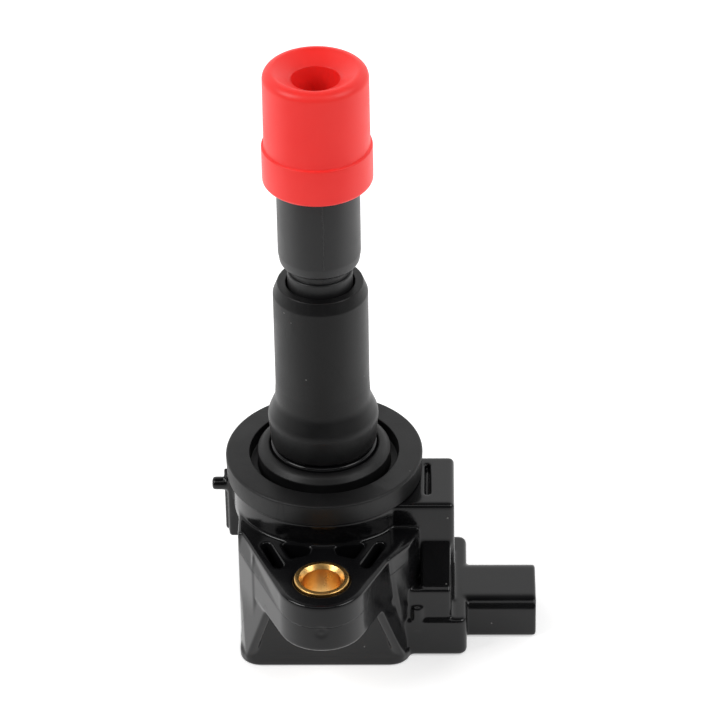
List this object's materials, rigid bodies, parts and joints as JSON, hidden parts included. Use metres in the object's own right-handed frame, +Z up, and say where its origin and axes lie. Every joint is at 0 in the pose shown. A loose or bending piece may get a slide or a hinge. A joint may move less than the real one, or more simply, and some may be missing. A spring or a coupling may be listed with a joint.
{
  "type": "ignition coil",
  "caption": "Plug-top ignition coil for a small petrol engine: potted block with fixing ear and side connector, round seal, and a tube ending in a soft spark plug boot.",
  "frame": {"origin": "centre of the flat potted face, on the plug tube's axis", "axes": "+Z up along the plug tube towards the boot, -Y towards the fixing ear, +X towards the connector"},
  "size_m": [0.0603, 0.0535, 0.116],
  "materials": {
    "housing_gloss": "glossy black glass-filled plastic",
    "tube_satin": "satin black plastic",
    "seal_rubber": "matte black rubber",
    "boot_silicone": "satin red silicone",
    "brass": "turned brass",
    "spring_steel": "drawn spring wire",
    "tinned_copper": "tin plate on copper",
    "primary_copper": "enamelled copper wire",
    "secondary_copper": "fine enamelled copper wire",
    "silicon_steel": "stacked laminations",
    "ferrite": "sintered, dark grey",
    "former_plastic": "natural moulded plastic",
    "potting_epoxy": "cast black epoxy",
    "semiconductor_moulding": "matte moulding compound",
    "aluminium": "rolled sheet",
    "resistor_ceramic": "unglazed ceramic"
  },
  "bodies": {
    "coil_body": {"housing": "housing_gloss", "potting_layer": "potting_epoxy", "core_bar": "silicon_steel", "core_loop": "silicon_steel", "core_magnet": "ferrite", "primary_bobbin": "former_plastic", "secondary_bobbin": "former_plastic", "primary_winding": "primary_copper", "secondary_winding": "secondary_copper", "igniter_module": "semiconductor_moulding", "igniter_heat_spreader": "aluminium", "terminal_ground": "tinned_copper", "terminal_trigger": "tinned_copper", "terminal_supply": "tinned_copper", "primary_lead_feed": "primary_copper", "primary_lead_switched": "primary_copper", "high_voltage_diode": "semiconductor_moulding", "high_voltage_lead": "primary_copper", "high_voltage_terminal": "brass", "link_spring": "spring_steel", "resistor_body": "resistor_ceramic", "resistor_cap_lower": "brass", "resistor_cap_upper": "brass", "contact_spring": "spring_steel", "high_voltage_tube": "tube_satin", "tube_sleeve": "tube_satin", "flange_seal": "seal_rubber", "mounting_bush": "brass"},
    "contact": {"contact_cap": "brass"},
    "boot": {"plug_boot": "boot_silicone"}
  },
  "joints": [
    {"name": "contact_travel", "type": "slide", "parent": "coil_body", "child": "contact", "axis": [0, 0, -1], "range_m": [0, 0.005], "stiffness_N_per_m": 800, "deforming": ["contact_spring"]},
    {"name": "boot_pull", "type": "slide", "parent": "coil_body", "child": "boot", "axis": [0, 0, 1], "range_m": [0, 0.008]}
  ]
}
